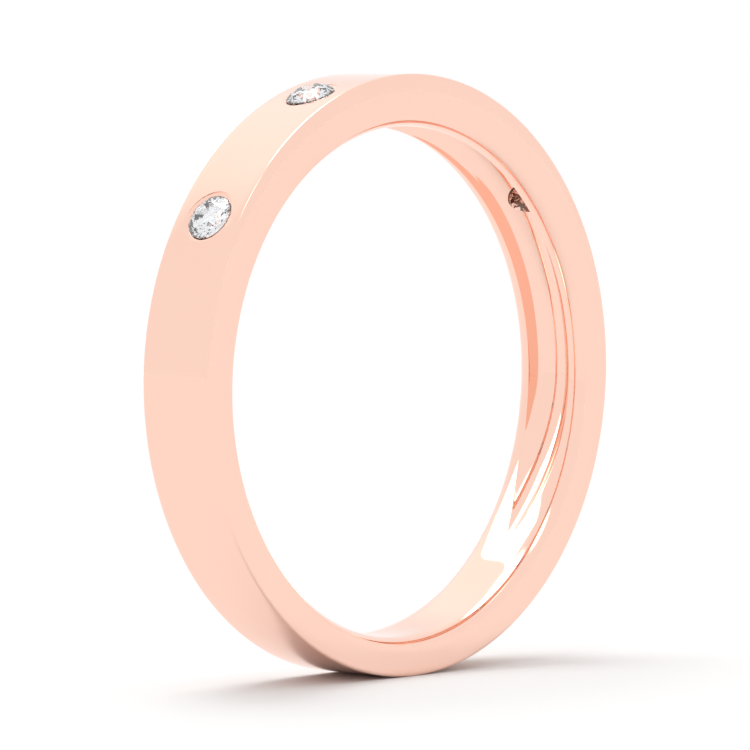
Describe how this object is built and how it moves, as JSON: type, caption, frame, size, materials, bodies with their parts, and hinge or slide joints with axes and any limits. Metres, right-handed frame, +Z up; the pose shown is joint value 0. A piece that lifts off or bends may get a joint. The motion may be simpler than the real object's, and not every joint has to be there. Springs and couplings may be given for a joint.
{
  "type": "wedding band",
  "caption": "Polished rose gold wedding band with a comfort-fit bore and round brilliant diamonds flush set across its top.",
  "frame": {"origin": "centre of the finger hole, on its axis and halfway across the band", "axes": "+Y along the finger; +Z up through the middle of the band's thicker, stone-set half; +X across the band"},
  "size_m": [0.0204, 0.003, 0.0205],
  "materials": {
    "rose_gold": "mirror-polished rose gold, carat unknown",
    "diamond": "colourless, polished facets"
  },
  "bodies": {
    "root": {"band": "rose_gold", "diamond_1": "diamond", "diamond_2": "diamond", "diamond_3": "diamond", "diamond_4": "diamond"}
  },
  "joints": []
}
